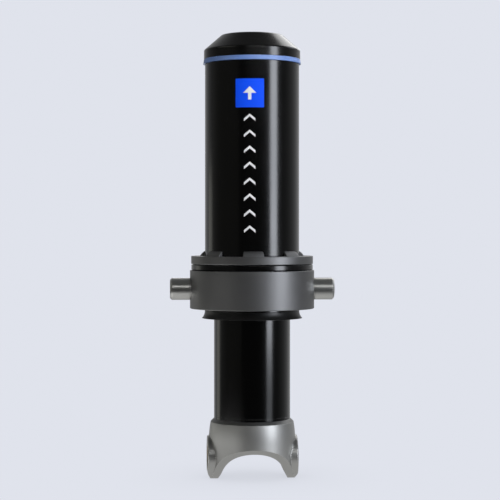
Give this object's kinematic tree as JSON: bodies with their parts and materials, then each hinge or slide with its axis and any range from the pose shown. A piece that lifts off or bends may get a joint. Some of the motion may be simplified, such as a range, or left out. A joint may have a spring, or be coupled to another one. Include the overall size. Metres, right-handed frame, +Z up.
{
  "type": "telescopic hydraulic cylinder",
  "caption": "Upright telescopic hydraulic cylinder with an outer cover, nested ram tubes, a swivelling trunnion ring with side pins and a forked foot.",
  "frame": {"origin": "centre of the cross bore through the two ears of the foot", "axes": "+Z up the barrel towards the cap, +X along the cross bore and the trunnion pins, front of the cylinder towards -Y"},
  "size_m": [0.3726, 0.298, 1.0025],
  "materials": {
    "forged_steel": "satin machined forging",
    "black_paint": "gloss black enamel",
    "black_polymer": "gloss black polymer",
    "skirt_black": "gloss black enamel",
    "ring_grey": "dark grey semi-gloss",
    "pin_steel": "turned bright",
    "blue_trim": "satin blue",
    "honed_steel": "ground and honed",
    "bronze": "turned bronze",
    "zinc_plated": "zinc plated",
    "copper_washer": "soft copper",
    "wiper_rubber": "matte",
    "seal_rubber": "satin polyurethane",
    "band_resin": "woven phenolic resin"
  },
  "bodies": {
    "base": {"bottom_yoke": "forged_steel", "oil_port_boss": "forged_steel", "yoke_bush_left": "bronze", "yoke_bush_right": "bronze", "yoke_weld": "black_paint", "base_tube": "black_paint", "base_wiper": "wiper_rubber", "base_seal": "seal_rubber", "base_guide_band": "band_resin"},
    "stage_1": {"stage_1_foot_band": "band_resin", "stage_1_guide_band": "band_resin", "stage_1_seal": "seal_rubber", "stage_1_tube": "honed_steel", "stage_1_wiper": "wiper_rubber"},
    "stage_2": {"stage_2_foot_band": "band_resin", "stage_2_guide_band": "band_resin", "stage_2_seal": "seal_rubber", "stage_2_tube": "honed_steel", "stage_2_wiper": "wiper_rubber"},
    "stage_3": {"stage_3_foot_band": "band_resin", "stage_3_guide_band": "band_resin", "stage_3_seal": "seal_rubber", "stage_3_tube": "honed_steel", "stage_3_wiper": "wiper_rubber"},
    "cover": {"bearing_washer": "bronze", "bleed_plug": "zinc_plated", "bleed_seal": "seal_rubber", "bleed_washer": "copper_washer", "cap_screws": "zinc_plated", "collar_flange": "ring_grey", "cover_cap": "black_paint", "cover_tube": "black_paint", "dirt_skirt": "skirt_black", "flange_welds": "ring_grey", "plunger_foot_band": "band_resin", "plunger_head": "honed_steel", "plunger_tube": "honed_steel", "split_ring_halves": "zinc_plated", "thrust_ring": "black_polymer", "trim_ring": "blue_trim"},
    "trunnion": {"trunnion_ring": "ring_grey", "trunnion_pin_left": "pin_steel", "trunnion_pin_right": "pin_steel", "ring_grease_nipple": "zinc_plated"}
  },
  "joints": [
    {"name": "stage_1_slide", "type": "slide", "parent": "base", "child": "stage_1", "axis": [0, 0, 1], "range_m": [0, 0.595]},
    {"name": "stage_2_slide", "type": "slide", "parent": "stage_1", "child": "stage_2", "axis": [0, 0, 1], "range_m": [0, 0.605]},
    {"name": "stage_3_slide", "type": "slide", "parent": "stage_2", "child": "stage_3", "axis": [0, 0, 1], "range_m": [0, 0.615]},
    {"name": "plunger_slide", "type": "slide", "parent": "stage_3", "child": "cover", "axis": [0, 0, 1], "range_m": [0, 0.625]},
    {"name": "trunnion_swivel", "type": "hinge", "parent": "cover", "child": "trunnion", "pos_m": [0, 0, 0.381], "axis": [0, 0, 1], "continuous": true}
  ]
}
